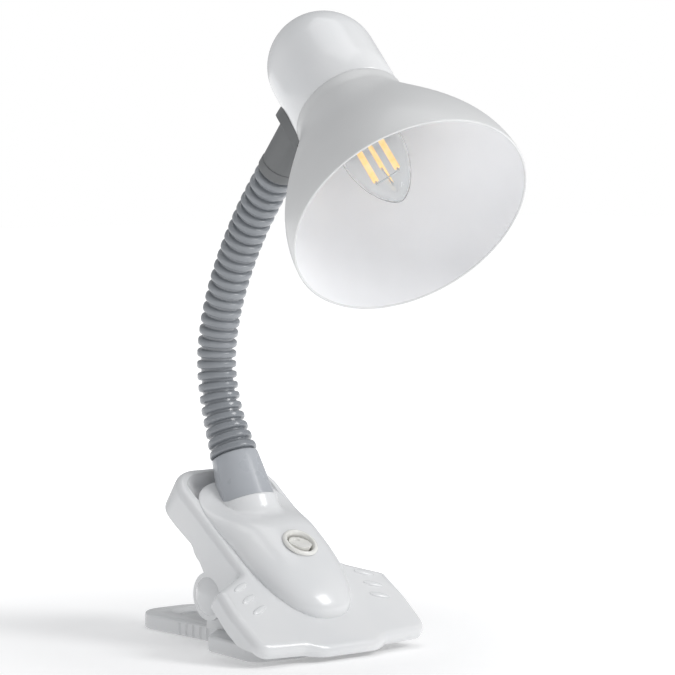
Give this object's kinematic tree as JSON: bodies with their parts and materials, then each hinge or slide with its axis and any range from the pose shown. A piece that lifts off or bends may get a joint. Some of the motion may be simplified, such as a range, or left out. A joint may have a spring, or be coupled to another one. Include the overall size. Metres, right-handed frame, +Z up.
{
  "type": "clip-on reading lamp",
  "caption": "Desk lamp on a spring clip: wide clamp jaws, switch housing, ribbed flexible neck, and a cup-backed bell shade with a candle bulb.",
  "frame": {"origin": "on the lower lever's flat underside, directly below the hinge pin, in the middle of its width", "axes": "+Z up; -Y towards the jaws and the shade; +Y towards the squeeze handles; X along the hinge pin"},
  "size_m": [0.142, 0.2777, 0.3502],
  "materials": {
    "white plastic": "glossy white moulding",
    "white shade": "satin white, matt inside",
    "cream plastic": "warm white moulding",
    "grey plastic": "satin mid grey",
    "dark grey plastic": "satin dark grey",
    "black plastic": "matt black",
    "grey rubber": "matt rubber",
    "steel": "plain zinc-plated steel",
    "brass": "plain brass",
    "nickel": "nickel plated",
    "glass": "clear glass",
    "filament": "yellow phosphor coating"
  },
  "bodies": {
    "base": {"lower_lever": "white plastic", "lower_jaw_pad": "grey rubber", "hinge_pin": "steel", "torsion_spring": "steel"},
    "upper_lever": {"upper_lever": "white plastic", "upper_jaw_pad": "grey rubber", "spring_upper_leg": "steel", "housing_cover": "white plastic", "housing_screw_1": "steel", "housing_screw_2": "steel", "switch_body": "cream plastic", "switch_terminal_1": "brass", "switch_terminal_2": "brass", "terminal_block": "black plastic", "cord_gland": "black plastic", "neck_socket": "grey plastic"},
    "rocker": {"switch_rocker": "cream plastic"},
    "neck_1": {"neck_sleeve_1": "grey plastic", "neck_core_1": "steel"},
    "neck_2": {"neck_sleeve_2": "grey plastic", "neck_core_2": "steel"},
    "neck_3": {"neck_sleeve_3": "grey plastic", "neck_core_3": "steel"},
    "neck_4": {"neck_sleeve_4": "grey plastic", "neck_core_4": "steel"},
    "neck_5": {"neck_sleeve_5": "grey plastic", "neck_core_5": "steel"},
    "neck_6": {"neck_sleeve_6": "grey plastic", "neck_core_6": "steel"},
    "neck_7": {"neck_sleeve_7": "grey plastic", "neck_core_7": "steel"},
    "neck_8": {"neck_sleeve_8": "grey plastic", "neck_core_8": "steel"},
    "neck_9": {"neck_sleeve_9": "grey plastic", "neck_core_9": "steel"},
    "head": {"head_bracket": "dark grey plastic", "head_cup": "white plastic", "bracket_screw_1": "steel", "bracket_screw_2": "steel", "shade": "white shade", "lampholder_body": "white plastic", "lampholder_ring": "white plastic", "lampholder_shell": "brass", "lampholder_contact": "brass", "bulb_glass": "glass", "bulb_cap": "nickel", "bulb_insulator": "black plastic", "bulb_contact": "nickel", "filament_stem": "glass", "filament_cross": "steel", "filament_1": "filament", "filament_2": "filament", "filament_3": "filament", "filament_4": "filament"}
  },
  "joints": [
    {"name": "clip_hinge", "type": "hinge", "parent": "base", "child": "upper_lever", "pos_m": [0, 0, 0.0279], "axis": [-1, 0, 0], "range_deg": [0, 28], "stiffness_Nm_per_rad": 1.2, "springref_deg": -51.57},
    {"name": "switch_rocker", "type": "hinge", "parent": "upper_lever", "child": "rocker", "pos_m": [0, -0.0363, 0.05627], "axis": [1, 0, 0], "range_deg": [0, 13]},
    {"name": "neck_lower_turn_1", "type": "hinge", "parent": "upper_lever", "child": "neck_1", "pos_m": [0, 0.0209, 0.1022], "axis": [0, 0.8894, -0.4571], "range_deg": [-7, 7]},
    {"name": "neck_lower_bend", "type": "hinge", "parent": "neck_1", "child": "neck_2", "pos_m": [0, 0.02997, 0.11986], "axis": [1, 0, 0], "range_deg": [-13, 6]},
    {"name": "neck_lower_turn", "type": "hinge", "parent": "neck_2", "child": "neck_3", "pos_m": [0, 0.03611, 0.13873], "axis": [0, 0.996, -0.0889], "range_deg": [-12, 12]},
    {"name": "neck_lower_bend_2", "type": "hinge", "parent": "neck_3", "child": "neck_4", "pos_m": [0, 0.03787, 0.15851], "axis": [1, 0, 0], "range_deg": [-13, 6]},
    {"name": "neck_lower_turn_2", "type": "hinge", "parent": "neck_4", "child": "neck_5", "pos_m": [0, 0.03426, 0.17802], "axis": [0, 0.9397, 0.342], "range_deg": [-12, 12]},
    {"name": "neck_upper_bend", "type": "hinge", "parent": "neck_5", "child": "neck_6", "pos_m": [0, 0.02746, 0.19667], "axis": [1, 0, 0], "range_deg": [-13, 6]},
    {"name": "neck_upper_turn", "type": "hinge", "parent": "neck_6", "child": "neck_7", "pos_m": [0, 0.01845, 0.21436], "axis": [0, 0.848, 0.5299], "range_deg": [-12, 12]},
    {"name": "neck_upper_bend_2", "type": "hinge", "parent": "neck_7", "child": "neck_8", "pos_m": [0, 0.00793, 0.2312], "axis": [1, 0, 0], "range_deg": [-13, 6]},
    {"name": "neck_upper_turn_2", "type": "hinge", "parent": "neck_8", "child": "neck_9", "pos_m": [0, -0.00401, 0.24705], "axis": [0, 0.7547, 0.6561], "range_deg": [-12, 12]},
    {"name": "neck_upper_bend_3", "type": "hinge", "parent": "neck_9", "child": "head", "pos_m": [0, -0.01703, 0.26203], "axis": [1, 0, 0], "range_deg": [-13, 6]}
  ],
  "couplings": [
    {"joint": "neck_lower_bend_2", "follows": "neck_lower_bend", "ratio": 1},
    {"joint": "neck_lower_turn_1", "follows": "neck_lower_turn", "ratio": 0.58},
    {"joint": "neck_lower_turn_2", "follows": "neck_lower_turn", "ratio": 1},
    {"joint": "neck_upper_bend_2", "follows": "neck_upper_bend", "ratio": 1},
    {"joint": "neck_upper_bend_3", "follows": "neck_upper_bend", "ratio": 1},
    {"joint": "neck_upper_turn_2", "follows": "neck_upper_turn", "ratio": 1}
  ]
}
